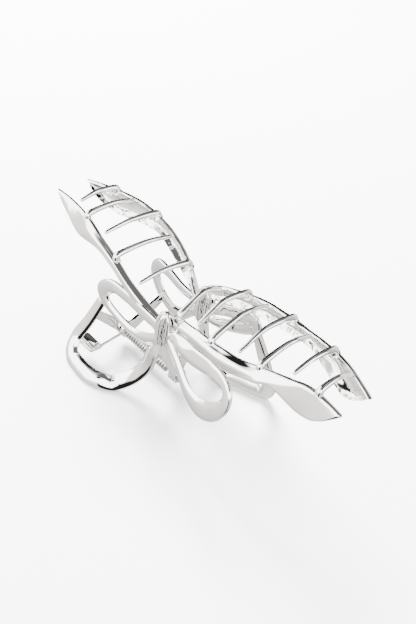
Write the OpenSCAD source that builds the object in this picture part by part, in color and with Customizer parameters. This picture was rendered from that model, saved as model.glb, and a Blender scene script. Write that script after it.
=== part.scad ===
// Alligator hair clip: two cast ribbon bows hinged together over a torsion spring.
// It stands on its finger rings with the teeth up. X runs along the hinge pin, Z is up,
// and the origin is on the surface that it stands on, midway between the two bows.
// The near bow lies at -Y and the far bow at +Y. Each is a soldered casting: a knot, two ribbon
// tails with teeth, two bow loops, a finger ring and two hinge arms.

/* [Ribbon tails] */
// Length of the clip from one ribbon tip to the other
clip_len = 110; // [92:1:132]
// Wall of a ribbon tail at its middle
ribbon_wall = 1.2; // [1:0.1:1.6]
// Thickness of the rounded rim along both edges of a tail
rim_d = 1.6; // [1.3:0.1:2]
// How far the middle of a tail bellies outwards
ribbon_belly = 1.3; // [0.6:0.1:1.8]
// Height of the near knot's centre above the surface the clip stands on
knot_z = 28.5; // [26:0.5:31]
// Distance of the near knot's centre from the middle plane
knot_y = 10; // [9:0.1:12]
// Distance of the far knot's centre from the middle plane
far_knot_y = 9; // [8.5:0.1:11]

/* [Teeth] */
// Spacing of the tooth places, used by the two bows in turn
tooth_pitch = 7.7; // [7:0.1:8]
// Shift of the row of tooth places along X
tooth_shift = -5.2; // [-6:0.1:-4.5]
// Diameter of a tooth at its root
tooth_root_d = 1.7; // [1.4:0.1:2]
// Diameter of a tooth at its tip
tooth_tip_d = 1.1; // [0.9:0.1:1.4]
// Height of a tooth's arch above its tip
tooth_rise = 1.2; // [0.9:0.1:1.8]
// Height of a tooth's tip above the middle of the rim that it points at
tooth_lift = 1.1; // [0.8:0.1:1.6]
// Distance from a tooth's tip to the middle of the rim that it points at
tooth_stop = 1.9; // [1.7:0.1:2.4]

/* [Bow loops and knots] */
// Width of the ribbon in the bow loops
loop_w = 4; // [3.2:0.1:4.4]
// Thickness of the ribbon in the bow loops
loop_t = 1.5; // [1.2:0.1:1.8]
// Reach of the near bow's long loop from its knot
near_long_reach = 28; // [23:0.5:34]
// Reach of the near bow's short loop from its knot
near_short_reach = 26; // [24:0.5:31]
// Reach of the far bow's long loop from its knot
far_long_reach = 25.5; // [24:0.5:31]
// Reach of the far bow's short loop from its knot
far_short_reach = 17.5; // [14.5:0.5:21]
// Width of a knot along X
knot_w = 6.4; // [5.8:0.1:7.4]
// Height of a knot
knot_h = 12.5; // [11:0.5:14]
// Depth of a knot along Y
knot_d = 5.4; // [4.8:0.1:6]

/* [Finger rings] */
// Width of the band round a finger ring
ring_w = 4.7; // [4:0.1:5.2]
// Thickness of the band round a finger ring
ring_t = 2; // [1.6:0.1:2.4]
// Reach of a finger ring outwards from the middle plane
ring_out = 18; // [16:0.5:21]
// Width of a spring tab
tab_w = 4; // [3.4:0.1:4.6]
// Thickness of a spring tab
tab_t = 1.4; // [1.1:0.1:1.7]

/* [Hinge and spring] */
// Height of the hinge pin's axis above the surface the clip stands on
hinge_z = 5; // [4.5:0.1:6]
// Diameter of the hinge pin
pin_d = 1.8; // [1.6:0.1:2]
// Radial clearance of the pin in the far bow's eyes
pin_gap = 0.05; // [0.02:0.01:0.08]
// Diameter of the pin's two heads
pin_head_d = 3; // [2.7:0.1:3.2]
// Thickness of the pin's two heads
pin_head_t = 0.7; // [0.5:0.1:0.9]
// Outer diameter of a hinge arm's eye
eye_d = 4.6; // [4.2:0.1:5.2]
// Thickness of a hinge arm
arm_t = 1.2; // [1:0.1:1.4]
// Side gap between neighbouring pieces along the pin
side_gap = 0.3; // [0.25:0.05:0.4]
// Place along X of the outer face of the near bow's left arm
hinge_left = -28.2; // [-29:0.1:-27.5]
// Place along X of the outer face of the near bow's right arm
hinge_right = -1.5; // [-2:0.1:-1]
// Diameter of the spring wire
wire_d = 0.8; // [0.6:0.05:0.9]
// Number of turns in the spring
spring_turns = 18; // [14:1:20]
// Gap between the spring wire and the pin
coil_gap = 0.15; // [0.1:0.05:0.3]

/* [Hidden] */

$fn = 48;
silver = [0.86, 0.87, 0.88];
steel = [0.7, 0.71, 0.73];

half_len = clip_len / 2;
near_teeth = [-4, -2, 1, 3, 5, 7];
far_teeth = [-5, -3, -1, 2, 4, 6];

near_at = [1.1, -knot_y, knot_z];
far_at = [-4.5, far_knot_y, knot_z - 3.5];

// The two edges of a ribbon tail, from the knot to the tip. Each row gives X as a share of the
// half length, the place outwards from the near knot's plane, and the height above its centre.
left_top = [[0.03, -3, -2.5], [0.136, -1.8, 0.5], [0.255, -0.2, 5.1], [0.382, 0.2, 9.3],
            [0.518, -0.1, 11.7], [0.655, -1.3, 13], [0.836, -3.3, 12.4], [1, -5, 10.9]];
near_left_low = [[0.03, -1.4, -4.3], [0.145, -0.4, -0.9], [0.255, 0.8, 3.5], [0.382, 1.4, 8],
                 [0.51, 1.2, 9.9], [0.667, 0.3, 8.7], [0.8, -1.2, 10], [0.936, -3.6, 10.2]];
far_left_low = [[0.03, -1.4, -5], [0.145, -0.6, -2.2], [0.27, -0.4, 1.6], [0.39, -0.3, 5.6],
                [0.5, -0.3, 8], [0.66, -0.8, 7], [0.8, -2, 5.8], [0.94, -4.2, 7.5]];
near_right_top = [[0.03, -3, 3.7], [0.11, -1.6, 5], [0.255, -0.2, 7.2], [0.4, 0.1, 8.3],
                  [0.545, -0.4, 9.6], [0.745, -2.1, 12.6], [0.864, -3.6, 13], [1, -5, 10.5]];
far_right_top = [[0, -2.6, 2.6], [0.09, -1.6, 6.5], [0.255, -0.2, 9.8], [0.4, 0.1, 10.7],
                 [0.545, -0.4, 11.4], [0.745, -2.1, 12.8], [0.864, -3.6, 12.8], [1, -5, 10.5]];
near_right_low = [[0.01, -1.4, 0.6], [0.127, -0.2, 3], [0.273, 1, 4.9], [0.445, 1.5, 5.6],
                  [0.59, 1.2, 8], [0.7, -0.2, 9.6], [0.836, -1.6, 7.3], [0.94, -2.8, 7.3]];
far_right_low = [[0.01, -1.4, 0.6], [0.127, -0.2, 3], [0.273, 1, 4.9], [0.445, 1.2, 6.3],
                 [0.6, -0.6, 8.6], [0.72, -2.6, 8.4], [0.8, -3.6, 7.2], [0.9, -4, 4.9]];

// The bow loops. Each row is X as a share of the loop's reach from its knot, the place outwards
// from the knot and the height above the knot's centre.
near_long = [[0.06, 0.3, -1], [0.24, 0.9, -5.4], [0.44, 2, -9.6], [0.66, 3.4, -10.2], [0.86, 4, -7.5],
             [0.98, 3.6, -2.4], [0.92, 2.4, 1.4], [0.68, 1.2, 1.4], [0.4, 0.4, -0.2], [0.16, 0, 0.4]];
near_short = [[0.08, 0, -1], [0.34, 0.1, -0.3], [0.62, 0.2, 0.4], [0.85, 0.5, 0.2], [0.99, 0.6, -3.4],
              [0.92, 0.4, -6.8], [0.7, 0, -8.8], [0.46, -0.2, -9.6], [0.22, -0.2, -7.2], [0.06, 0, -3.8]];
far_long = [[0.04, 0.4, -2.5], [0.25, 1.3, -7], [0.43, 2.4, -11.5], [0.65, 3.8, -14], [0.88, 4.2, -12],
            [1, 3.8, -6.5], [0.91, 3, -2], [0.69, 2.2, -1.4], [0.43, 1.2, -1.8], [0.2, 0.4, -1.2]];
far_short = [[0.06, 0, -1], [0.4, 1, 2.4], [0.71, 1, 4.6], [0.93, 1.1, 5.8], [1, 1.4, 4.4],
             [0.86, 1.4, 1.8], [0.54, 1, -1.2], [0.26, 0.6, -3], [0.06, 0.1, -2.8]];

// The finger rings, from the short loop round under the clip and up to the knot. Each row is X,
// the share of the way from the knot's plane out to the ring's reach, and Z.
near_ring = [[-25.8, 0.01, 20.5], [-28.6, 0.26, 12.5], [-30.7, 0.57, 6.4], [-29.6, 0.89, 2.6],
             [-25.2, 1.04, 1], [-18.5, 1.07, 0.9], [-14, 0.82, 1.3], [-11.2, 0.46, 2.8],
             [-8.4, 0.1, 5.8], [-6, -0.12, 10.6], [-4.2, -0.15, 16.8], [-1.2, -0.08, 24]];
far_ring = [[12.6, 0.16, 29], [15.2, 0.34, 22.5], [16.8, 0.62, 14], [17.2, 0.86, 6.8],
            [14.6, 0.98, 1.9], [10.5, 0.8, 0.9], [5, 0.58, 1.1], [0.6, 0.36, 4.2],
            [-2.2, 0.18, 9], [-3.8, 0.06, 15], [-4.6, 0, 22]];

coil_r = pin_d / 2 + coil_gap + wire_d / 2;
near_arm_left_x = hinge_left + arm_t / 2;
far_arm_left_x = near_arm_left_x + arm_t + side_gap;
near_arm_right_x = hinge_right - arm_t / 2;
far_arm_right_x = near_arm_right_x - arm_t - side_gap;
coil_start = far_arm_left_x + arm_t / 2 + side_gap + wire_d / 2;
coil_end = far_arm_right_x - arm_t / 2 - side_gap - wire_d / 2;
// The end of the coil belongs to the far leg, which turns with the far bow
coil_pitch = (coil_end - coil_start) / (spring_turns + 1.6);
// Angle of the spring's legs below the level
leg_drop = 10;

// The tabs lie over the ends of the spring legs, a small gap above the wire
tab_y = knot_y + 0.375 * (ring_out - knot_y);
leg_len = tab_y;
tab_over = 1.4;
tab_root_x = -30.4;
stop_root_x = 1.4;
tab_z = hinge_z + coil_r * cos(leg_drop) - (leg_len - 1.5) * sin(leg_drop) + wire_d / 2 + 0.1;

// ---- Shapes ----

function blend4(a, b, c, d, t) =
    0.5 * ((2 * b) + (c - a) * t + (2 * a - 5 * b + 4 * c - d) * t * t + (3 * b - a - 3 * c + d) * t * t * t);

// Points along a smooth curve through p, with n steps from each point to the next
function smooth(p, n) =
    let (m = len(p) - 1)
    concat([for (i = [0:m - 1], k = [0:n - 1])
                blend4(p[max(i - 1, 0)], p[i], p[i + 1], p[min(i + 2, m)], k / n)],
           [p[m]]);

// The same for a curve that closes on itself
function smooth_closed(p, n) =
    let (m = len(p))
    [for (i = [0:m - 1], k = [0:n - 1])
        blend4(p[(i + m - 1) % m], p[i], p[(i + 1) % m], p[(i + 2) % m], k / n)];

function unit(v) = v / norm(v);
function total(v, i = 0) = i < len(v) ? v[i] + total(v, i + 1) : v[0] * 0;
function middle(p) = total(p) / len(p);

// A solid whose skin joins the rings of points in turn
module skin(rings, closed = false) {
    rows = len(rings);
    sides = len(rings[0]);
    last = closed ? rows - 1 : rows - 2;
    walls = [for (i = [0:last], j = [0:sides - 1])
        let (a = i * sides + j, b = i * sides + (j + 1) % sides, k = ((i + 1) % rows) * sides)
        each [[a, k + (j + 1) % sides, b], [a, k + j, k + (j + 1) % sides]]];
    ends = closed ? [] : [[for (j = [0:sides - 1]) j], [for (j = [sides - 1:-1:0]) (rows - 1) * sides + j]];
    polyhedron(points = [for (ring = rings, p = ring) p], faces = concat(walls, ends), convexity = 8);
}

// The direction of a path at its point i
function along(p, i, closed) =
    let (m = len(p))
    closed ? unit(p[(i + 1) % m] - p[(i + m - 1) % m]) : unit(p[min(i + 1, m - 1)] - p[max(i - 1, 0)]);

// Rings of a flat band that follows path p, with its width pointing away from the point eye
function band(p, widths, thick, eye, closed, sides = 12) =
    [for (i = [0:len(p) - 1])
        let (t = along(p, i, closed), r = p[i] - eye, w = unit(r - (r * t) * t), n = cross(t, w),
             half = widths[i] / 2)
        [for (j = [0:sides - 1]) let (a = 360 * j / sides)
            p[i] + w * half * cos(a) + n * (thick / 2) * sin(a)]];

// Rings of a round bar along path p, with its own radius at each point
function bar(p, radii, side, sides = 10) =
    [for (i = [0:len(p) - 1])
        let (t = along(p, i, false), w = unit(side - (side * t) * t), n = cross(t, w))
        [for (j = [0:sides - 1]) let (a = 360 * j / sides)
            p[i] + w * radii[i] * cos(a) + n * radii[i] * sin(a)]];

// ---- Ribbon tails ----

// Near the knot the two tails of a bow move over to where its knot is
function edge_line(edge, side, at) =
    let (out = sign(at[1]))
    smooth([for (row = edge)
                [side * row[0] * half_len + at[0] * max(0, 1 - 4 * row[0]),
                 out * (knot_y + row[1]), knot_z + row[2]]], 4);

// The middle of a bow's rim at x, between the two nearest points of its line
function rim_at(x, at) =
    let (side = x < 0 ? -1 : 1,
         right_top = at[1] < 0 ? near_right_top : far_right_top,
         line = edge_line(side < 0 ? left_top : right_top, side, at),
         hits = [for (i = [0:len(line) - 2]) if (side * line[i + 1][0] >= side * x) i],
         k = len(hits) > 0 ? hits[0] : len(line) - 2,
         s = (x - line[k][0]) / (line[k + 1][0] - line[k][0]))
    line[k] + max(0, s) * (line[k + 1] - line[k]);

// One ring round a tail: the outer face bellies out and the inner face is a shallow channel
function tail_ring(top, low, t, side) =
    let (down = unit(low - top), n = cross(t, down), out = n * sign(n[1]) * side,
         r = rim_d / 2, belly = ribbon_belly * min(1, norm(low - top) / 5), inner = r + belly - ribbon_wall,
         place = function(s, h) top + s * (low - top) + out * h,
         ring = [top - down * r, place(0, r), place(0.25, r + 0.75 * belly), place(0.5, r + belly),
                 place(0.75, r + 0.75 * belly), place(1, r), low + down * r, place(1, -r),
                 place(0.8, inner - 0.4 * belly), place(0.5, inner), place(0.2, inner - 0.4 * belly),
                 place(0, -r)])
    cross(down, out) * t > 0 ? [for (j = [len(ring) - 1:-1:0]) ring[j]] : ring;

module tail(top_edge, low_edge, side, at) {
    tops = edge_line(top_edge, side, at);
    lows = edge_line(low_edge, side, at);
    mids = [for (i = [0:len(tops) - 1]) (tops[i] + lows[i]) / 2];
    skin([for (i = [0:len(tops) - 1]) tail_ring(tops[i], lows[i], along(mids, i, false), sign(at[1]))]);
}

// ---- Teeth ----

// A tooth stands on its own bow's rim at x, arches across and points at the other bow's rim
module tooth(x, own, other) {
    foot = rim_at(x, own);
    goal = rim_at(x, other);
    inward = sign(goal[1]);
    tip = [x, goal[1] - inward * tooth_stop, goal[2] + tooth_lift];
    knee = [x, foot[1] + inward * tooth_root_d / 2, foot[2] + tooth_lift + 0.5 * tooth_rise];
    crown = [x, (foot[1] + goal[1]) / 2, max(foot[2], goal[2]) + tooth_lift + tooth_rise];
    line = smooth([[x, foot[1], foot[2]], knee, crown, tip], 4);
    steps = len(line) - 1;
    radii = [for (i = [0:steps]) (tooth_root_d + (tooth_tip_d - tooth_root_d) * i / steps) / 2];
    nose = tip + 0.3 * unit(tip - line[steps - 1]);
    skin(bar(concat(line, [nose]), concat(radii, [0.25 * tooth_tip_d]), [1, 0, 0]));
}

function tooth_x(place) = tooth_pitch * place + tooth_shift;

// ---- Bow loops, knots and finger rings ----

function loop_path(rows, reach, at) =
    smooth_closed([for (row = rows) at + [row[0] * reach, sign(at[1]) * row[1], row[2]]], 4);

module bow_loop(rows, reach, at) {
    path = loop_path(rows, reach, at);
    // The ribbon widens towards the end of the loop and narrows into the knot
    widths = [for (p = path) loop_w * (0.62 + 0.58 * abs((p[0] - at[0]) / reach))];
    skin(band(path, widths, loop_t, middle(path), true), true);
}

module knot(at) {
    rows = 10;
    skin([for (i = [0:rows])
        let (s = i / rows, swell = 0.62 + 0.38 * sin(180 * s))
        [for (j = [0:19]) let (a = 360 * j / 20)
            at + [knot_w / 2 * swell * cos(a), knot_d / 2 * swell * sin(a), knot_h * (s - 0.52)]]]);
}

function ring_line(rows, at) =
    let (plane = abs(at[1]))
    smooth([for (row = rows) [row[0], sign(at[1]) * (plane + row[1] * (ring_out - plane)), row[2]]], 4);

module finger_ring(rows, at) {
    path = ring_line(rows, at);
    last = len(path) - 1;
    widths = [for (i = [0:last]) ring_w * (0.7 + 0.3 * sin(180 * i / last))];
    // The underside is flat where the clip stands on it
    skin([for (ring = band(path, widths, ring_t, middle(path), false))
        [for (p = ring) [p[0], p[1], max(p[2], 0)]]]);
}

// The tab reaches in from the near ring's outer side, over the near spring leg
module near_spring_tab() {
    end_x = coil_start + tab_over;
    color(silver) translate([tab_root_x, -tab_y - tab_w / 2, tab_z])
        cube([end_x - tab_root_x, tab_w, tab_t]);
}

// The far bow's stop reaches in from its ring's branch, over the far spring leg
module far_spring_stop() {
    end_x = coil_end - tab_over;
    color(silver) translate([end_x, tab_y - tab_w / 2, tab_z])
        cube([stop_root_x - end_x, tab_w, tab_t]);
}

// ---- Hinge ----

// The first or last place where a path crosses x
function crossings(path, x) =
    [for (i = [0:len(path) - 2]) let (a = path[i], b = path[i + 1])
        if ((a[0] - x) * (b[0] - x) <= 0 && a[0] != b[0]) a + (x - a[0]) / (b[0] - a[0]) * (b - a)];

// A flat arm from its eye on the pin up to the point end on its bow
module arm(x, end, bore) {
    rise = end[2] - hinge_z;
    turn = atan2(rise, end[1]);
    reach = norm([end[1], rise]);
    wide = eye_d * 0.8;
    narrow = eye_d * 0.5;
    translate([x - arm_t / 2, 0, hinge_z]) rotate([90, 0, 90]) difference() {
        union() {
            cylinder(d = eye_d, h = arm_t);
            linear_extrude(arm_t) rotate(turn)
                polygon([[0, -wide / 2], [reach, -narrow / 2], [reach, narrow / 2], [0, wide / 2]]);
        }
        translate([0, 0, -1]) cylinder(d = bore, h = arm_t + 2);
    }
}

module near_arm_left() {
    color(silver) arm(near_arm_left_x, crossings(ring_line(near_ring, near_at), near_arm_left_x)[0], pin_d);
}

module near_arm_right() {
    places = crossings(ring_line(near_ring, near_at), near_arm_right_x);
    color(silver) arm(near_arm_right_x, places[len(places) - 1], pin_d);
}

// The far left arm reaches the underside of the far bow's long loop, and the right one its knot
module far_arm_left() {
    places = crossings(loop_path(far_long, -far_long_reach, far_at), far_arm_left_x);
    color(silver) arm(far_arm_left_x, places[0], pin_d + 2 * pin_gap);
}

module far_arm_right() {
    color(silver) arm(far_arm_right_x, far_at - [0, 0, 0.4 * knot_h], pin_d + 2 * pin_gap);
}

module hinge_pin() {
    span = hinge_right - hinge_left;
    color(steel) translate([hinge_left, 0, hinge_z]) rotate([0, 90, 0]) union() {
        translate([0, 0, -pin_head_t]) cylinder(d = pin_head_d, h = pin_head_t);
        cylinder(d = pin_d, h = span);
        translate([0, 0, span]) cylinder(d = pin_head_d, h = pin_head_t);
    }
}

// ---- Spring ----

// The wire turns about the pin: angle 0 is on top, and it moves along X as the angle grows
function coil_point(a) = [coil_start + coil_pitch * a / 360, coil_r * sin(a), hinge_z + coil_r * cos(a)];

// A leg runs along the tangent of the coil at angle a, s from where it touches
function leg_point(a, s) = coil_point(a) + s * [0, cos(a), -sin(a)];

module wire(path) {
    skin(bar(path, [for (p = path) wire_d / 2], [1, 0, 0], 6));
}

// The near leg passes under the near tab and pushes it up
module spring_coil() {
    leg = [for (s = [-leg_len, -leg_len / 2, -1]) leg_point(-leg_drop, s)];
    turns = [for (a = [-leg_drop:30:360 * spring_turns]) coil_point(a)];
    color(steel) wire(concat(leg, turns));
}

// The end of the coil and its leg, which turn with the far bow and push its stop up
module spring_far_leg() {
    from = 360 * (spring_turns + 0.9);
    to = 360 * (spring_turns + 1) + leg_drop;
    turn = [for (a = [from:15:to]) coil_point(a)];
    leg = [for (s = [1, leg_len / 2, leg_len]) leg_point(to, s)];
    color(steel) wire(concat(turn, leg));
}

// ---- The two bows ----

module near_tail_left() {
    color(silver) tail(left_top, near_left_low, -1, near_at);
}

module near_tail_right() {
    color(silver) tail(near_right_top, near_right_low, 1, near_at);
}

module near_knot() {
    color(silver) knot(near_at);
}

module near_long_loop() {
    color(silver) bow_loop(near_long, near_long_reach, near_at);
}

module near_short_loop() {
    color(silver) bow_loop(near_short, -near_short_reach, near_at);
}

module near_finger_ring() {
    color(silver) finger_ring(near_ring, near_at);
}

module near_tooth(i) {
    color(silver) tooth(tooth_x(near_teeth[i - 1]), near_at, far_at);
}

module far_tail_left() {
    color(silver) tail(left_top, far_left_low, -1, far_at);
}

module far_tail_right() {
    color(silver) tail(far_right_top, far_right_low, 1, far_at);
}

module far_knot() {
    color(silver) knot(far_at);
}

module far_long_loop() {
    color(silver) bow_loop(far_long, -far_long_reach, far_at);
}

module far_short_loop() {
    color(silver) bow_loop(far_short, far_short_reach, far_at);
}

module far_finger_ring() {
    color(silver) finger_ring(far_ring, far_at);
}

module far_tooth(i) {
    color(silver) tooth(tooth_x(far_teeth[i - 1]), far_at, near_at);
}

near_tail_left();
near_tail_right();
near_knot();
near_long_loop();
near_short_loop();
near_finger_ring();
near_spring_tab();
near_arm_left();
near_arm_right();
far_tail_left();
far_tail_right();
far_knot();
far_long_loop();
far_short_loop();
far_finger_ring();
far_spring_stop();
far_arm_left();
far_arm_right();
for (i = [1:6]) near_tooth(i);
for (i = [1:6]) far_tooth(i);
hinge_pin();
spring_coil();
spring_far_leg();
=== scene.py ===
# %% [markdown]
# # An alligator hair clip of polished silver, shaped as two ribbon bows
#
# The clip is two castings that hinge apart on a sprung pin. Each casting is a bow: a knot,
# two ribbon tails that carry the teeth, two open loops and a finger ring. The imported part
# already holds every size, joint and place, so this script only gives each piece its real
# surface: rounded rims, folds, bevels and polish. It starts by loading that part as a frame.

# %% Load the frame
import math

import bpy
import numpy as np
from mathutils import Matrix, Vector


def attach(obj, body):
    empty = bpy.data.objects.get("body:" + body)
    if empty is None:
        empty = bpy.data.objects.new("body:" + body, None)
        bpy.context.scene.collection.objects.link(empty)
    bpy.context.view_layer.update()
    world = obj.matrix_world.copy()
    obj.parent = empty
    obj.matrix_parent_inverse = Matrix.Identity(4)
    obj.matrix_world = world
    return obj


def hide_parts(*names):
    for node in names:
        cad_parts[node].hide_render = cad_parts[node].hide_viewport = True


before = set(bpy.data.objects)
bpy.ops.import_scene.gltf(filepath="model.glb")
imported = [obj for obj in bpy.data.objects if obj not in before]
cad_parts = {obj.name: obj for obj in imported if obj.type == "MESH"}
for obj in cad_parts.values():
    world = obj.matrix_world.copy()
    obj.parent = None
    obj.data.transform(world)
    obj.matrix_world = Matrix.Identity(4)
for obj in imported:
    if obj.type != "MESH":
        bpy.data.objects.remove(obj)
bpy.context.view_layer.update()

# %% [markdown]
# ## One class for node maths
#
# Both the finishes and the wire of the spring are built from nodes. Writing them as ordinary
# sums is easier to read than wiring nodes one by one, so a small class wraps a socket: adding
# or multiplying two of them adds the Math node that does it. The method `make` adds any other
# node, sets its settings first and then fills in its sockets.

# %% The node signal
def pick(sockets, name):
    """A socket by its number, or by its name among those that the node's settings switch on."""
    if isinstance(name, int):
        return sockets[name]
    return next(s for s in sockets if s.enabled and s.name == name)


class Signal:
    def __init__(self, tree, socket=None):
        self.tree = tree
        self.socket = socket

    def make(self, kind, settings=None, values=None, output=0):
        node = self.tree.nodes.new(kind)
        for name, value in (settings or {}).items():
            if name == "stops":
                elements = node.color_ramp.elements
                elements.remove(elements[1])
                elements[0].position, elements[0].color = value[0][0], (*value[0][1], 1)
                for spot, colour in value[1:]:
                    elements.new(spot).color = (*colour, 1)
            else:
                setattr(node, name, value)
        for name, value in (values or {}).items():
            if isinstance(value, Signal):
                self.tree.links.new(value.socket, pick(node.inputs, name))
            else:
                pick(node.inputs, name).default_value = value
        return Signal(self.tree, pick(node.outputs, output))

    def math(self, operation, *others):
        values = dict(enumerate((self, *others)))
        return self.make("ShaderNodeMath", {"operation": operation}, values)

    def __add__(self, other):
        return self.math("ADD", other)

    __radd__ = __add__

    def __mul__(self, other):
        return self.math("MULTIPLY", other)

    __rmul__ = __mul__

    def __sub__(self, other):
        return self.math("SUBTRACT", other)

    def __rsub__(self, other):
        return (self * -1) + other


print("node maths ready")

# %% [markdown]
# ## The finishes
#
# The castings are plated and polished to a mirror. A perfect mirror looks like glass, though:
# real polishing leaves the surface very slightly wavy, because the wheel follows the casting,
# and handling leaves a faint haze. So the silver gets a slow wave through a Bump node and a
# roughness that drifts a little. The wheel can't reach into the channels of the far tails or
# the folds of the knots, so they stay rippled: a second finish has a shorter wave and darker
# parts. All read Object coordinates, in metres, so the pattern stays on the piece when the
# clip opens.

# %% Polished silver
TINT_SCALE = 70
HAZE_SCALE = 420


def noise(signal, scale, detail):
    place = signal.make("ShaderNodeTexCoord", output="Object")
    return signal.make(
        "ShaderNodeTexNoise", values={"Vector": place, "Scale": scale, "Detail": detail})


def metal(name, light, dark, haze, haze_drift, wave_scale, wave_height):
    material = bpy.data.materials.new(name)
    material.use_nodes = True
    tree = material.node_tree
    shader = tree.nodes["Principled BSDF"]
    start = Signal(tree)
    drift = noise(start, TINT_SCALE, 2)
    tint = start.make("ShaderNodeMix", {"data_type": "RGBA"},
                      {"Factor": drift, "A": (*light, 1), "B": (*dark, 1)}, "Result")
    rough = haze + haze_drift * noise(start, HAZE_SCALE, 3)
    wave = start.make("ShaderNodeBump", values={
        "Height": noise(start, wave_scale, 1), "Distance": wave_height, "Strength": 1.0})
    tree.links.new(tint.socket, shader.inputs["Base Color"])
    tree.links.new(rough.socket, shader.inputs["Roughness"])
    tree.links.new(wave.socket, shader.inputs["Normal"])
    shader.inputs["Metallic"].default_value = 1
    return material


silver = metal("polished silver", light=(0.95, 0.945, 0.93), dark=(0.89, 0.88, 0.865),
               haze=0.03, haze_drift=0.04, wave_scale=150, wave_height=0.0004)
rippled = metal("rippled silver", light=(0.95, 0.945, 0.93), dark=(0.8, 0.79, 0.77),
                haze=0.04, haze_drift=0.05, wave_scale=300, wave_height=0.0005)
print("made", silver.name, "and", rippled.name)

# %% [markdown]
# The pin and the spring are bright drawn steel. Wire is pulled through a die, which leaves it
# a little duller and greyer than the polished castings, and with hardly any wave.

# %% Spring steel
steel = metal("bright drawn steel", light=(0.66, 0.66, 0.65), dark=(0.52, 0.52, 0.51),
              haze=0.08, haze_drift=0.1, wave_scale=900, wave_height=0.00001)
print("made", steel.name)

# %% [markdown]
# ## Skins
#
# Nearly every piece is a section carried along a path: a ribbon, a loop, a ring. One helper
# joins rings of points into a closed mesh. It works in millimetres, like the clip's own
# drawing, and turns the faces outwards by the sign of the volume that they enclose.

# %% The skin helper
MM = 0.001


def volume(points, faces):
    total = 0.0
    for face in faces:
        for k in range(1, len(face) - 1):
            a, b, c = points[face[0]], points[face[k]], points[face[k + 1]]
            total += np.dot(a, np.cross(b, c))
    return total / 6


def skin(name, rings, closed=False, sharp=50):
    rings = np.array(rings, float)
    rows, sides = rings.shape[:2]
    points = rings.reshape(-1, 3)
    faces = []
    for i in range(rows if closed else rows - 1):
        row, after = i * sides, (i + 1) % rows * sides
        for j in range(sides):
            k = (j + 1) % sides
            faces.append((row + j, row + k, after + k, after + j))
    if not closed:
        faces.append(tuple(range(sides - 1, -1, -1)))
        faces.append(tuple(range((rows - 1) * sides, rows * sides)))
    if volume(points, faces) < 0:
        faces = [face[::-1] for face in faces]
    mesh = bpy.data.meshes.new(name)
    mesh.from_pydata((points * MM).tolist(), [], faces)
    mesh.shade_smooth()
    mesh.set_sharp_from_angle(angle=math.radians(sharp))
    piece = bpy.data.objects.new(name, mesh)
    bpy.context.collection.objects.link(piece)
    return piece


def place(piece, body, nodes, finish, slot):
    piece.data.materials.clear()
    piece.data.materials.append(finish)
    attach(piece, body)
    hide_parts(*nodes)
    print(piece.name, "on", body, "with", len(piece.data.polygons), "faces")


print("skin helper ready")

# %% [markdown]
# ## Smooth paths
#
# The clip's lines are drawn as a few points each, with a curve through them that keeps its
# direction at every point. The same curve is used here, with many more steps, so that the
# reflections run without a break.

# %% Curves through points
STEPS = 14


def blend(a, b, c, d, t):
    return 0.5 * (2 * b + (c - a) * t + (2 * a - 5 * b + 4 * c - d) * t ** 2
                  + (3 * b - a - 3 * c + d) * t ** 3)


def smooth(points, closed=False, steps=STEPS):
    p = np.array(points, float)
    last = len(p) - 1
    path = []
    for i in range(last + 1 if closed else last):
        if closed:
            four = [p[(i + k) % (last + 1)] for k in (-1, 0, 1, 2)]
        else:
            four = [p[min(max(i + k, 0), last)] for k in (-1, 0, 1, 2)]
        path += [blend(*four, t) for t in np.arange(steps) / steps]
    return np.array(path if closed else path + [p[-1]])


def directions(path, closed=False):
    if closed:
        ahead = np.roll(path, -1, axis=0) - np.roll(path, 1, axis=0)
    else:
        ahead = np.gradient(path, axis=0)
    return ahead / np.linalg.norm(ahead, axis=1, keepdims=True)


def unit(v):
    return v / np.linalg.norm(v)


print("a curve through 8 points has", len(smooth(np.zeros((8, 3)))), "steps")

# %% [markdown]
# ## Where the bows stand
#
# Both bows face outwards from the hinge plane, the near one to -Y. These are the main sizes of
# the clip, in millimetres: half its length, the place and height of the near knot, and the
# middles of the two knots.

# %% Main sizes
HALF = 55.0
KNOT_Y = 10.0
KNOT_Z = 28.5
NEAR = np.array([1.1, -KNOT_Y, KNOT_Z])
FAR = np.array([-4.5, 9.0, KNOT_Z - 3.5])
BODY = {"near": "near_bow", "far": "far_bow"}
AT = {"near": NEAR, "far": FAR}
OUT = {"near": -1, "far": 1}
print("knots at", NEAR, FAR)
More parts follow.
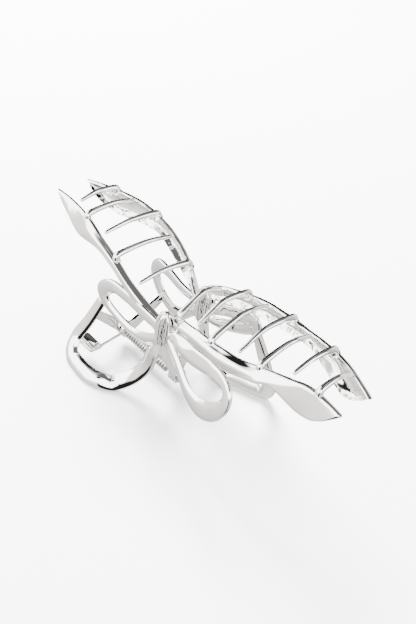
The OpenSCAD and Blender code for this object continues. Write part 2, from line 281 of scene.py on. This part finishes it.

# %% [markdown]
# ## Ribbon tails
#
# A tail is a strip of metal that leaves the knot narrow, swells and ends in a slanted tip. It
# has a bead along both edges. Between the beads the outside bellies out and the inside is a
# channel, which is how such a strip is cast thin and still stiff. On the near bow the belly
# flattens into a blade past a soft fold, and on the far bow it runs on to the tip. It could be
# a plane with a Solidify modifier, but the bead would be lost, so the section is drawn
# and carried along the two edge lines.

# %% Edge lines of the tails
LEFT_TOP = [(0.03, -3, -2.5), (0.136, -1.8, 0.5), (0.255, -0.2, 5.1), (0.382, 0.2, 9.3),
            (0.518, -0.1, 11.7), (0.655, -1.3, 13), (0.836, -3.3, 12.4), (1, -5, 10.9)]
NEAR_LEFT_LOW = [(0.03, -1.4, -4.3), (0.145, -0.4, -0.9), (0.255, 0.8, 3.5), (0.382, 1.4, 8),
                 (0.51, 1.2, 9.9), (0.667, 0.3, 8.7), (0.8, -1.2, 10), (0.936, -3.6, 10.2)]
FAR_LEFT_LOW = [(0.03, -1.4, -5), (0.145, -0.6, -2.2), (0.27, -0.4, 1.6), (0.39, -0.3, 5.6),
                (0.5, -0.3, 8), (0.66, -0.8, 7), (0.8, -2, 5.8), (0.94, -4.2, 7.5)]
NEAR_RIGHT_TOP = [(0.03, -3, 3.7), (0.11, -1.6, 5), (0.255, -0.2, 7.2), (0.4, 0.1, 8.3),
                  (0.545, -0.4, 9.6), (0.745, -2.1, 12.6), (0.864, -3.6, 13), (1, -5, 10.5)]
FAR_RIGHT_TOP = [(0, -2.6, 2.6), (0.09, -1.6, 6.5), (0.255, -0.2, 9.8), (0.4, 0.1, 10.7),
                 (0.545, -0.4, 11.4), (0.745, -2.1, 12.8), (0.864, -3.6, 12.8), (1, -5, 10.5)]
NEAR_RIGHT_LOW = [(0.01, -1.4, 0.6), (0.127, -0.2, 3), (0.273, 1, 4.9), (0.445, 1.5, 5.6),
                  (0.59, 1.2, 8), (0.7, -0.2, 9.6), (0.836, -1.6, 7.3), (0.94, -2.8, 7.3)]
FAR_RIGHT_LOW = [(0.01, -1.4, 0.6), (0.127, -0.2, 3), (0.273, 1, 4.9), (0.445, 1.2, 6.3),
                 (0.6, -0.6, 8.6), (0.72, -2.6, 8.4), (0.8, -3.6, 7.2), (0.9, -4, 4.9)]


def edge_line(rows, side, bow):
    at, out = AT[bow], OUT[bow]
    return smooth([(side * share * HALF + at[0] * max(0, 1 - 4 * share),
                    out * (KNOT_Y + off), KNOT_Z + up) for share, off, up in rows])


print("edge lines ready")

# %% [markdown]
# The section is described from the top edge downwards. `across` is the distance down the
# strip and `proud` the distance outwards. The bead is an arc round the edge, and the inner
# face stands back from both beads, so the inside reads as a channel with raised rims.

# %% The ribbon's section
BEAD = 0.8
WALL = 0.9
BELLY = 1.3
FOLD = 31.0
FOLD_SOFTNESS = 2.2
ROUND_FROM = 0.93
ROUNDED = 0.75
FULL_WIDTH = 5
LEAST_BELLY = 0.1


def tail_section(width, belly):
    bead = min(BEAD, 0.3 * width + 0.1)
    wall = min(WALL, 1.4 * bead)
    top = [(-bead * math.cos(a), bead * math.sin(a))
           for a in np.radians(np.linspace(-60, 70, 9))]
    outer = [(s * width, bead + belly * (1 - (2 * s - 1) ** 2))
             for s in np.linspace(0.04, 0.96, 15)]
    low = [(width - across, proud) for across, proud in top[::-1]]
    lip = -0.7 * bead
    inner = []
    for s in np.linspace(0.93, 0.07, 15):
        face = bead + belly * (1 - (2 * s - 1) ** 2) - wall
        dip = 1 - (2 * s - 1) ** 8
        inner.append((s * width, lip + (face - lip) * dip))
    return top + outer + low + inner


print("section of a 5 mm strip has", len(tail_section(5, BELLY)), "points")


# %% The four tails
def tail(name, top_rows, low_rows, side, bow):
    tops, lows = edge_line(top_rows, side, bow), edge_line(low_rows, side, bow)
    ahead = directions((tops + lows) / 2)
    # The lower corner of the tip is rounded off: the last stretch narrows along a quarter circle
    last_part = np.clip((np.linspace(0, 1, len(tops)) - ROUND_FROM) / (1 - ROUND_FROM), 0, 1)
    cut = ROUNDED * (1 - np.sqrt(1 - last_part ** 2))
    lows = lows + (tops - lows) * cut[:, None]
    rings = []
    for top, low, t in zip(tops, lows, ahead):
        width = np.linalg.norm(low - top)
        down = unit(low - top)
        normal = unit(np.cross(t, down))
        normal = normal * np.sign(normal[1]) * OUT[bow]
        full = 1 if bow == "far" else 1 / (1 + math.exp((abs(top[0]) - FOLD) / FOLD_SOFTNESS))
        belly = BELLY * min(1, width / FULL_WIDTH) * (LEAST_BELLY + (1 - LEAST_BELLY) * full)
        rings.append([top + down * x + normal * y for x, y in tail_section(width, belly)])
    finish = silver if bow == "near" else rippled
    place(skin(name, rings), BODY[bow], [name], finish, "polished_silver")


tail("near_tail_left", LEFT_TOP, NEAR_LEFT_LOW, -1, "near")
tail("near_tail_right", NEAR_RIGHT_TOP, NEAR_RIGHT_LOW, 1, "near")
tail("far_tail_left", LEFT_TOP, FAR_LEFT_LOW, -1, "far")
tail("far_tail_right", FAR_RIGHT_TOP, FAR_RIGHT_LOW, 1, "far")

# %% [markdown]
# ## Bow loops
#
# A loop is a ribbon that leaves the knot, turns and comes back. Its flat side faces outwards
# and it widens towards the far end of the loop. The section is a slightly domed bar, rounded
# at the outer edge and with a broad bevel at the inner one, which catches its own line of
# light or dark: a true rectangle would show hard lines, and an ellipse would look like wire.

# %% A band along a path
HALF_BAND = [(1, 0.2), (0.96, 0.45), (0.86, 0.66), (0.7, 0.82), (0.45, 0.94), (0.15, 1),
             (-0.15, 1), (-0.38, 0.96), (-0.5, 0.88), (-0.62, 0.72), (-0.78, 0.46),
             (-0.92, 0.24), (-0.98, 0.12)]
BEVELLED = HALF_BAND + [(x, -y) for x, y in HALF_BAND[::-1]]


def band(path, widths, thick, closed, section):
    eye = path.mean(axis=0)
    rings = []
    for p, t, width in zip(path, directions(path, closed), widths):
        away = p - eye
        across = unit(away - np.dot(away, t) * t)
        normal = np.cross(t, across)
        rings.append([p + across * width / 2 * x + normal * thick / 2 * y for x, y in section])
    return rings


print("the band's section has", len(BEVELLED), "points")

# %% [markdown]
# Each row of a loop says how far along the loop a point is, as a share of the loop's reach,
# then how far outwards and upwards from the knot's middle, and the ribbon's width there.

# %% The four loops
LOOP_T = 1.7
NEAR_LONG = [(0.06, 0.3, -1, 3), (0.24, 0.9, -5.4, 3.1), (0.44, 2, -9.6, 3.8),
             (0.66, 3.4, -10.2, 5.2), (0.86, 4, -7.5, 5), (0.98, 3.6, -2.4, 3.6),
             (0.92, 2.4, 1.4, 3.4), (0.68, 1.2, 1.4, 4.4), (0.4, 0.4, -0.2, 5),
             (0.16, 0, 0.4, 4.2)]
NEAR_SHORT = [(0.08, 0, -1, 3.6), (0.34, 0.1, -0.3, 4), (0.62, 0.2, 0.4, 3.9),
              (0.85, 0.5, 0.2, 4), (0.99, 0.6, -3.4, 5), (0.92, 0.4, -6.8, 3.6),
              (0.7, 0, -8.8, 2.6), (0.46, -0.2, -9.6, 3.4), (0.22, -0.2, -7.2, 4),
              (0.06, 0, -3.8, 3.2)]
FAR_LONG = [(0.04, 0.4, -2.5, 3), (0.25, 1.3, -7, 3.4), (0.43, 2.4, -11.5, 3.8),
            (0.65, 3.8, -14, 4.4), (0.88, 4.2, -12, 4.8), (1, 3.8, -6.5, 4.8),
            (0.91, 3, -2, 4.4), (0.69, 2.2, -1.4, 4.2), (0.43, 1.2, -1.8, 3.8),
            (0.2, 0.4, -1.2, 3.2)]
FAR_SHORT = [(0.06, 0, -1, 3), (0.4, 1, 2.4, 3.6), (0.71, 1, 4.6, 4.2), (0.93, 1.1, 5.8, 4.6),
             (1, 1.4, 4.4, 4.8), (0.86, 1.4, 1.8, 4.4), (0.54, 1, -1.2, 3.8),
             (0.26, 0.6, -3, 3.2), (0.06, 0.1, -2.8, 3)]


def loop(name, rows, reach, bow):
    at = AT[bow]
    path = smooth([(*(at + [share * reach, OUT[bow] * off, up]), width)
                   for share, off, up, width in rows], closed=True)
    piece = skin(name, band(path[:, :3], path[:, 3], LOOP_T, True, BEVELLED), closed=True)
    place(piece, BODY[bow], [name], silver, "polished_silver")


loop("near_long_loop", NEAR_LONG, 28.0, "near")
loop("near_short_loop", NEAR_SHORT, -26.0, "near")
loop("far_long_loop", FAR_LONG, -25.5, "far")
loop("far_short_loop", FAR_SHORT, 17.5, "far")

# %% [markdown]
# ## Finger rings
#
# The rings are what the fingers press and what the clip stands on. Each is an open hoop that
# leaves the short loop, runs round under the clip and climbs to the knot. It is broader and
# thicker than a loop and has the same section, whose inner bevel catches a thin line of light.

# %% The two rings
RING_W = 4.7
RING_T = 2.0
RING_OUT = 18.0
NEAR_RING = [(-25.8, 0.01, 20.5), (-28.6, 0.26, 12.5), (-30.7, 0.57, 6.4), (-29.6, 0.89, 2.6),
             (-25.2, 1.04, 1), (-18.5, 1.07, 0.9), (-14, 0.82, 1.3), (-11.2, 0.46, 2.8),
             (-8.4, 0.1, 5.8), (-6, -0.13, 10.6), (-4.2, -0.15, 16.8), (-1.2, -0.08, 24)]
FAR_RING = [(12.6, 0.16, 29), (15.2, 0.34, 22.5), (16.8, 0.62, 14), (17.2, 0.86, 6.8),
            (14.6, 0.98, 1.9), (10.5, 0.8, 0.9), (5, 0.58, 1.1), (0.6, 0.36, 4.2),
            (-2.2, 0.18, 9), (-3.8, 0.06, 15), (-4.6, 0, 22)]


def finger_ring(name, rows, bow):
    plane = abs(AT[bow][1])
    path = smooth([(x, OUT[bow] * (plane + share * (RING_OUT - plane)), z)
                   for x, share, z in rows])
    swell = np.sin(np.linspace(0, math.pi, len(path)))
    rings = np.array(band(path, RING_W * (0.7 + 0.3 * swell), RING_T, False, BEVELLED))
    # Where the hoop would reach under the floor, its whole section is lifted on to it
    rings[:, :, 2] -= np.minimum(rings[:, :, 2].min(axis=1), 0)[:, None]
    place(skin(name, rings, sharp=60), BODY[bow], [name], silver, "polished_silver")


finger_ring("near_finger_ring", NEAR_RING, "near")
finger_ring("far_finger_ring", FAR_RING, "far")

# %% [markdown]
# ## Knots
#
# The knot looks like a strip wrapped round the middle of the bow and pulled tight, so it is
# full in the middle and rounded at both ends. The folds run from top to bottom and wander a
# little. They are grooves cut into a barrel: the radius drops where a fold is. Each fold has
# its angle round the knot, its width in degrees and its depth as a share of the radius.

# %% The two knots
KNOT_W = 6.4
KNOT_H = 12.5
KNOT_D = 5.4
FOLDS = [(205, 11, 0.2), (243, 9, 0.26), (276, 8, 0.2), (305, 10, 0.28), (338, 9, 0.22),
         (8, 10, 0.2), (50, 10, 0.26), (88, 9, 0.2), (125, 10, 0.26), (163, 10, 0.2)]
FOLD_DEPTH = 1.35
WANDER = 9


def knot(name, bow):
    rings = []
    for s in np.linspace(0.004, 0.996, 60):
        swell = 0.97 * (1 - abs(2 * s - 1) ** 3.2) ** 0.5
        ring = []
        for a in np.arange(0, 360, 3.0):
            groove = 0
            for angle, wide, deep in FOLDS:
                centre = angle + WANDER * math.sin(3 * s + angle)
                off = (a - centre + 180) % 360 - 180
                groove += FOLD_DEPTH * deep * math.exp(-(off / wide) ** 2)
            r = swell * (1 - groove)
            ring.append(AT[bow] + [KNOT_W / 2 * r * math.cos(math.radians(a)),
                                   KNOT_D / 2 * r * math.sin(math.radians(a)),
                                   KNOT_H * (s - 0.52)])
        rings.append(ring)
    place(skin(name, rings, sharp=80), BODY[bow], [name], rippled, "polished_silver")


for bow in ("near", "far"):
    knot(bow + "_knot", bow)

# %% [markdown]
# ## Teeth
#
# Twelve teeth hold the hair. Each is soldered upright on its own bow's rim, bends over and
# points at the other bow, and thins towards the tip. They repeat, so Geometry Nodes make them:
# the script only draws one line of points per tooth, with the thickness of the tooth stored
# at each point, and the tree turns every line into a bar of that thickness.

# %% The tree that makes bars from lines
def new_tree(name, inputs):
    tree = bpy.data.node_groups.new(name, "GeometryNodeTree")
    tree.interface.new_socket("Geometry", in_out="INPUT", socket_type="NodeSocketGeometry")
    tree.interface.new_socket("Geometry", in_out="OUTPUT", socket_type="NodeSocketGeometry")
    keys = {}
    for label, kind, value in inputs:
        item = tree.interface.new_socket(label, in_out="INPUT", socket_type=kind)
        if value is not None:
            item.default_value = value
        keys[label] = item.identifier
    source = tree.nodes.new("NodeGroupInput")
    given = {label: Signal(tree, source.outputs[label]) for label in ("Geometry", *keys)}
    return tree, keys, given


def end_tree(tree, shape, material):
    start = Signal(tree)
    shape = start.make("GeometryNodeRealizeInstances", values={"Geometry": shape})
    shape = start.make("GeometryNodeSetMaterial", values={"Geometry": shape, "Material": material})
    sink = tree.nodes.new("NodeGroupOutput")
    tree.links.new(shape.socket, sink.inputs[0])


def bar_from(start, curve, sides, thick):
    profile = start.make("GeometryNodeCurvePrimitiveCircle",
                         values={"Resolution": sides, "Radius": 1.0}, output="Curve")
    return start.make("GeometryNodeCurveToMesh", values={
        "Curve": curve, "Profile Curve": profile, "Scale": thick, "Fill Caps": True})


bars, bar_keys, given = new_tree("bars along lines", [
    ("Sides", "NodeSocketInt", 16), ("Thickness", "NodeSocketFloat", 1.0),
    ("Material", "NodeSocketMaterial", None)])
start = Signal(bars)
line = start.make("GeometryNodeMeshToCurve", values={"Mesh": given["Geometry"]})
radius = start.make(
    "GeometryNodeInputNamedAttribute", values={"Name": "radius_at"}, output="Attribute")
bar_mesh = bar_from(start, line, given["Sides"], radius * given["Thickness"])
end_tree(bars, bar_mesh, given["Material"])
print("tree", bars.name, "has", len(bars.nodes), "nodes")


# %% Running a tree to a plain mesh
def grown(name, mesh, tree, keys, settings):
    seed = bpy.data.objects.new(name + " lines", mesh)
    bpy.context.collection.objects.link(seed)
    modifier = seed.modifiers.new("grow", "NODES")
    modifier.node_group = tree
    for label, value in settings.items():
        modifier[keys[label]] = value
    bpy.context.view_layer.update()
    graph = bpy.context.evaluated_depsgraph_get()
    result = bpy.data.meshes.new_from_object(seed.evaluated_get(graph), depsgraph=graph)
    bpy.data.objects.remove(seed)
    result.name = name
    result.shade_smooth()
    result.set_sharp_from_angle(angle=math.radians(50))
    piece = bpy.data.objects.new(name, result)
    bpy.context.collection.objects.link(piece)
    return piece


print("trees end as plain meshes")

# %% [markdown]
# The line of a tooth follows the clip's own drawing: the foot on the rim, a knee, a crown
# between the bows and the tip. The foot swells a little where the solder has run.

# %% Lines of the teeth
PITCH = 7.7
SHIFT = -5.2
TOOTH_PLACES = {"near": [-4, -2, 1, 3, 5, 7], "far": [-5, -3, -1, 2, 4, 6]}
ROOT_R = 0.98
TIP_R = 0.5
TOOTH_RISE = 1.2
TOOTH_LIFT = 1.1
TOOTH_STOP = 1.9
SOLDER = 0.3
SOLDER_REACH = 0.035
FULLER = 1.08


def rim_at(x, bow):
    side = -1 if x < 0 else 1
    right = NEAR_RIGHT_TOP if bow == "near" else FAR_RIGHT_TOP
    line = edge_line(LEFT_TOP if side < 0 else right, side, bow)
    order = np.argsort(line[:, 0])
    return np.array([x] + [np.interp(x, line[order, 0], line[order, k]) for k in (1, 2)])


def tooth_line(x, own, other):
    foot, goal = rim_at(x, own), rim_at(x, other)
    inward = np.sign(goal[1])
    tip = np.array([x, goal[1] - inward * TOOTH_STOP, goal[2] + TOOTH_LIFT])
    knee = [x, foot[1] + inward * ROOT_R, foot[2] + TOOTH_LIFT + 0.5 * TOOTH_RISE]
    crown = [x, (foot[1] + goal[1]) / 2, max(foot[2], goal[2]) + TOOTH_LIFT + TOOTH_RISE]
    path = smooth([foot, knee, crown, tip], steps=12)
    share = np.linspace(0, 1, len(path))
    thick = ROOT_R + (TIP_R - ROOT_R) * share + SOLDER * np.exp(-share / SOLDER_REACH)
    ahead = unit(path[-1] - path[-2])
    nose = [(0.2, 0.94), (0.36, 0.75), (0.46, 0.45), (0.5, 0.12)]
    path = np.vstack([path, [path[-1] + far * ahead for far, _ in nose]])
    thick = np.append(thick, [TIP_R * part for _, part in nose])
    return path, thick


def lines_mesh(name, lines):
    points, edges, radii = [], [], []
    for path, thick in lines:
        first = len(points)
        points += (path * MM).tolist()
        radii += (thick * MM).tolist()
        edges += [(first + k, first + k + 1) for k in range(len(path) - 1)]
    mesh = bpy.data.meshes.new(name)
    mesh.from_pydata(points, edges, [])
    mesh.attributes.new("radius_at", "FLOAT", "POINT").data.foreach_set("value", radii)
    return mesh


for bow, other in (("near", "far"), ("far", "near")):
    lines = [tooth_line(PITCH * k + SHIFT, bow, other) for k in TOOTH_PLACES[bow]]
    teeth = grown(bow + "_teeth", lines_mesh(bow + " tooth lines", lines), bars, bar_keys,
                  {"Sides": 20, "Thickness": FULLER, "Material": silver})
    place(teeth, BODY[bow], [f"{bow}_tooth_{k}" for k in range(1, 7)], silver, "polished_silver")

# %% [markdown]
# ## The spring
#
# The torsion spring is one wire: a leg under the near tab, the coil round the pin and a leg
# under the far stop. The coil follows a rule, so a tree makes it: a line of points, each moved
# to its place on the helix by its own number. The far end turns with the far bow, so the wire
# is made as two pieces that meet inside the last turn.

# %% The tree that winds the wire
STEPS_PER_TURN = 24
WIRE_SIDES = 12
JOIN_GAP = 0.00005
coil_tree, coil_keys, given = new_tree("wound wire", [
    ("Points", "NodeSocketInt", 2), ("First Turn", "NodeSocketFloat", 0.0),
    ("Start X", "NodeSocketFloat", 0.0), ("Pitch", "NodeSocketFloat", 0.001),
    ("Coil Radius", "NodeSocketFloat", 0.001), ("Axis Height", "NodeSocketFloat", 0.0),
    ("Wire Radius", "NodeSocketFloat", 0.0004), ("Material", "NodeSocketMaterial", None)])
start = Signal(coil_tree)
row = start.make("GeometryNodeMeshLine", {"mode": "OFFSET"}, {"Count": given["Points"]})
index = start.make("GeometryNodeInputIndex")
turn = index * (1 / STEPS_PER_TURN) + given["First Turn"]
angle = turn * (2 * math.pi)
spot = start.make("ShaderNodeCombineXYZ", values={
    "X": given["Start X"] + given["Pitch"] * turn,
    "Y": given["Coil Radius"] * angle.math("SINE"),
    "Z": given["Axis Height"] + given["Coil Radius"] * angle.math("COSINE")})
helix = start.make("GeometryNodeSetPosition", values={"Geometry": row, "Position": spot})
both = start.make("GeometryNodeJoinGeometry", values={"Geometry": helix})
coil_tree.links.new(given["Geometry"].socket, both.socket.node.inputs["Geometry"])
welded = start.make("GeometryNodeMergeByDistance", values={"Geometry": both, "Distance": JOIN_GAP})
wire = start.make("GeometryNodeMeshToCurve", values={"Mesh": welded})
end_tree(coil_tree, bar_from(start, wire, WIRE_SIDES, given["Wire Radius"]), given["Material"])
print("tree", coil_tree.name, "has", len(coil_tree.nodes), "nodes")

# %% The two parts of the spring
HINGE_Z = 5.0
PIN_D = 1.8
WIRE_D = 0.8
COIL_R = PIN_D / 2 + 0.15 + WIRE_D / 2
COIL_START = -24.8
COIL_END = -4.9
TURNS = 18
COIL_PITCH = (COIL_END - COIL_START) / (TURNS + 1.6)
LEG_DROP = 10.0
LEG_LEN = 13.0
PAST_LAST_TURN = 5
FAR_WIRE = 45


def coil_point(degrees):
    a = math.radians(degrees)
    return np.array([COIL_START + COIL_PITCH * degrees / 360, COIL_R * math.sin(a),
                     HINGE_Z + COIL_R * math.cos(a)])


def leg_line(degrees, lengths):
    a = math.radians(degrees)
    ahead = np.array([0, math.cos(a), -math.sin(a)])
    path = np.array([coil_point(degrees) + length * ahead for length in lengths])
    return path, np.full(len(path), WIRE_D / 2)


def spring_part(name, bow, from_degrees, to_degrees, leg):
    points = round((to_degrees - from_degrees) / 360 * STEPS_PER_TURN) + 1
    piece = grown(name, lines_mesh(name + " leg", [leg]), coil_tree, coil_keys, {
        "Points": points, "First Turn": from_degrees / 360, "Start X": COIL_START * MM,
        "Pitch": COIL_PITCH * MM, "Coil Radius": COIL_R * MM, "Axis Height": HINGE_Z * MM,
        "Wire Radius": WIRE_D / 2 * MM, "Material": steel})
    place(piece, BODY[bow], [name], steel, "spring_steel")


near_leg = leg_line(-LEG_DROP, [-LEG_LEN, -LEG_LEN / 2, 0])
spring_part("spring_coil", "near", -LEG_DROP, 360 * TURNS + PAST_LAST_TURN, near_leg)
last = 360 * (TURNS + 1) + LEG_DROP
far_leg = leg_line(last, [0, LEG_LEN / 2, LEG_LEN])
spring_part("spring_far_leg", "far", last - FAR_WIRE, last, far_leg)

# %% [markdown]
# ## Arms, tabs and the pin
#
# The hinge arms, the two spring tabs and the pin are plain shapes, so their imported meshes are
# right already, apart from their edges. A copy of each is welded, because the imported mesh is
# loose triangles, and gets a small bevel, as a casting has after polishing.

# %% Bevelled copies
WELD_GAP = 0.00001
EDGE_ANGLE = math.radians(35)


def bevelled(name, width):
    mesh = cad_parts[name].data.copy()
    piece = bpy.data.objects.new(name + "_softened", mesh)
    bpy.context.collection.objects.link(piece)
    weld = piece.modifiers.new("weld", "WELD")
    weld.merge_threshold = WELD_GAP
    flat = piece.modifiers.new("flat", "DECIMATE")
    flat.decimate_type = "DISSOLVE"
    flat.angle_limit = math.radians(1)
    edge = piece.modifiers.new("edge", "BEVEL")
    edge.width = width * MM
    edge.segments = 3
    edge.limit_method = "ANGLE"
    edge.angle_limit = EDGE_ANGLE
    bpy.context.view_layer.update()
    graph = bpy.context.evaluated_depsgraph_get()
    result = bpy.data.meshes.new_from_object(piece.evaluated_get(graph), depsgraph=graph)
    piece.modifiers.clear()
    piece.data = result
    result.shade_smooth()
    result.set_sharp_from_angle(angle=EDGE_ANGLE)
    return piece


PLAIN = [("near_arm_left", "near", 0.22), ("near_arm_right", "near", 0.22),
         ("near_spring_tab", "near", 0.35), ("far_arm_left", "far", 0.22),
         ("far_arm_right", "far", 0.22), ("far_spring_stop", "far", 0.35)]
for name, bow, width in PLAIN:
    place(bevelled(name, width), BODY[bow], [name], silver, "polished_silver")
place(bevelled("hinge_pin", 0.2), "near_bow", ["hinge_pin"], steel, "spring_steel")

# %% [markdown]
# ## Floor and light
#
# Polished metal shows its surroundings more than itself, so a whole room is drawn in the
# surrounding light. Its front goes from a warm grey below to white above, and its rear is dark,
# with one warm panel. A grey window stands to the side. Flags, which are round patches, and
# dark upright gaps draw the thin black lines that give each rim its edge. One large soft lamp
# casts the shadow. The camera and the floor see a plain pale tone instead of the room, so the
# view behind the clip stays plain.

# %% The floor
def floor_finish():
    material = bpy.data.materials.new("pale floor")
    material.use_nodes = True
    tree = material.node_tree
    shader = tree.nodes["Principled BSDF"]
    start = Signal(tree)
    tint = start.make("ShaderNodeMix", {"data_type": "RGBA"}, {
        "Factor": noise(start, 3, 2), "A": (0.86, 0.86, 0.865, 1),
        "B": (0.83, 0.83, 0.835, 1)}, "Result")
    tree.links.new(tint.socket, shader.inputs["Base Color"])
    shader.inputs["Roughness"].default_value = 0.7
    return material


HALF_FLOOR = 3.0
floor_mesh = bpy.data.meshes.new("floor")
floor_mesh.from_pydata([(-HALF_FLOOR, -HALF_FLOOR, 0), (HALF_FLOOR, -HALF_FLOOR, 0),
                        (HALF_FLOOR, HALF_FLOOR, 0), (-HALF_FLOOR, HALF_FLOOR, 0)],
                       [], [(0, 1, 2, 3)])
floor = bpy.data.objects.new("floor", floor_mesh)
bpy.context.collection.objects.link(floor)
floor.data.materials.append(floor_finish())
floor.visible_glossy = False
print("floor", 2 * HALF_FLOOR, "m wide")

# %% The surrounding light
world = bpy.data.worlds.new("studio")
bpy.context.scene.world = world
world.use_nodes = True
sky = world.node_tree
sky.nodes.clear()
start = Signal(sky)
ray = start.make("ShaderNodeTexCoord", output="Generated")
axes = ray.make("ShaderNodeSeparateXYZ", values={"Vector": ray}).socket.node
east, north, height = (Signal(sky, axes.outputs[k]) for k in range(3))
azimuth = north.math("ARCTAN2", east) * (180 / math.pi)


def strip(signal, middle, half_width, softness):
    """1 within the half width of a middle, fading to 0 over the softness on both sides."""
    off = (signal - middle).math("ABSOLUTE")
    return off.make("ShaderNodeMapRange", {"interpolation_type": "SMOOTHSTEP"}, {
        "Value": off, "From Min": half_width - softness, "From Max": half_width + softness,
        "To Min": 1.0, "To Max": 0.0})


def rise(stops):
    """A colour for each height from -1, straight down, to 1, straight up."""
    places = [((h + 1) / 2, colour) for h, colour in stops]
    share = height * 0.5 + 0.5
    return start.make("ShaderNodeValToRGB", {"stops": places}, {"Fac": share}, "Color")


def mixed(share, one, other):
    return start.make("ShaderNodeMix", {"data_type": "RGBA"},
                      {"Factor": share, "A": one, "B": other}, "Result")


def panel(turn, level):
    """An upright panel: its middle, half width and softness, in degrees round and in height."""
    return strip(azimuth, *turn) * strip(height, *level)


def patch(toward, radius, softness):
    """1 within so many degrees of a direction, fading to 0 over the softness on both sides."""
    aim = Vector(toward).normalized()
    near = east * aim.x + north * aim.y + height * aim.z
    return near.make("ShaderNodeMapRange", {"interpolation_type": "SMOOTHSTEP"}, {
        "Value": near, "From Min": math.cos(math.radians(radius + softness)),
        "From Max": math.cos(math.radians(radius - softness)), "To Min": 0.0, "To Max": 1.0})


WHITE = (2.1, 2.1, 2.1)
WARM = (0.58, 0.55, 0.515)
DIM = (0.05, 0.05, 0.049)
DARK = (0.006, 0.006, 0.006)
WINDOW = (0.36, 0.36, 0.35)
BACKDROP = (1.3, 1.3, 1.3)
FILL = (0.9, 0.9, 0.9)
STRENGTH = 3.6
FRONT = [(-1, (0.5, 0.5, 0.49)), (-0.8, (0.28, 0.27, 0.26)), (-0.3, WARM),
         (-0.05, (0.62, 0.6, 0.575)), (0.02, (0.8, 0.78, 0.76)), (0.1, WHITE), (0.62, WHITE),
         (0.75, (0.55, 0.55, 0.55)), (1, (0.3, 0.3, 0.3))]
BACK = [(-1, (0.5, 0.5, 0.5)), (-0.88, (0.24, 0.24, 0.235)), (-0.74, DARK), (0.2, DARK),
        (0.36, (0.03, 0.03, 0.029)), (0.7, DIM), (0.86, (0.08, 0.08, 0.08)),
        (0.94, (0.4, 0.4, 0.4)), (1, (0.6, 0.6, 0.6))]
# Round flags: the way to each, its radius and softness in degrees, and its tone
FLAGS = [((0.72, 0.6, 0.3), 9, 3, WHITE), ((-0.54, 0.22, 0.82), 22, 6, DARK),
         ((0.16, -0.77, 0.62), 10, 3, DARK), ((0.3, -0.1, 0.9), 34, 6, DIM)]

behind = strip(azimuth, middle=104, half_width=64, softness=6)
around = mixed(behind, rise(FRONT), rise(BACK))
around = mixed(patch((0.12, 1, 0.02), radius=33, softness=6), around, (*WARM, 1))
window = panel((44, 15, 4), (-0.05, 0.72, 0.06))
crossbar = strip(height, middle=0.02, half_width=0.16, softness=0.05)
around = mixed(window * (1 - crossbar), around, (*WINDOW, 1))
for toward, radius, softness, tone in FLAGS:
    around = mixed(patch(toward, radius, softness), around, (*tone, 1))
gaps = panel((-8, 7, 2), (0.1, 0.55, 0.08))
gaps = gaps.math("MAXIMUM", panel((-54, 21, 3), (-0.35, 0.5, 0.08)))
around = mixed(gaps, around, (*DARK, 1))
seen = start.make("ShaderNodeLightPath", output="Is Camera Ray")
plain = mixed(seen, around, (*BACKDROP, 1))
scattered = start.make("ShaderNodeLightPath", output="Is Diffuse Ray")
plain = mixed(scattered, plain, (*FILL, 1))
glow = start.make("ShaderNodeBackground", values={"Color": plain, "Strength": STRENGTH})
sink = sky.nodes.new("ShaderNodeOutputWorld")
sky.links.new(glow.socket, sink.inputs["Surface"])
print("surrounding light has", len(sky.nodes), "nodes")


# %% The soft lamp
def soft_lamp(name, at, aim, size, power):
    lamp = bpy.data.lights.new(name, "AREA")
    lamp.shape = "DISK"
    lamp.size = size
    lamp.energy = power
    item = bpy.data.objects.new(name, lamp)
    item.location = at
    item.rotation_euler = (Vector(aim) - Vector(at)).to_track_quat("-Z", "Y").to_euler()
    item.visible_glossy = False
    bpy.context.collection.objects.link(item)


soft_lamp("key", at=(-0.52, 0.22, 0.62), aim=(0, 0, 0.02), size=0.45, power=74.0)
print("lamp set")

# %% [markdown]
# ## Camera
#
# The clip is seen from its near right side and from well above, a little tilted. The camera
# is placed by its position, the way that it looks and that tilt.

# %% The camera
CAMERA_AT = Vector((0.12968, -0.13067, 0.17439))
LOOKS_BACK = Vector((0.54199, -0.57095, 0.61665))
CAMERA_UP = Vector((-0.52743, 0.34016, 0.77853))
LENS = 51.14
SENSOR = 36

side = CAMERA_UP.cross(LOOKS_BACK).normalized()
upright = LOOKS_BACK.cross(side).normalized()
turned = Matrix((side, upright, LOOKS_BACK.normalized())).transposed().to_4x4()
camera_data = bpy.data.cameras.new("camera")
camera_data.lens = LENS
camera_data.sensor_width = SENSOR
camera = bpy.data.objects.new("camera", camera_data)
bpy.context.collection.objects.link(camera)
camera.matrix_world = Matrix.Translation(CAMERA_AT) @ turned
bpy.context.scene.camera = camera
print("camera", [round(v, 3) for v in CAMERA_AT], "lens", LENS)
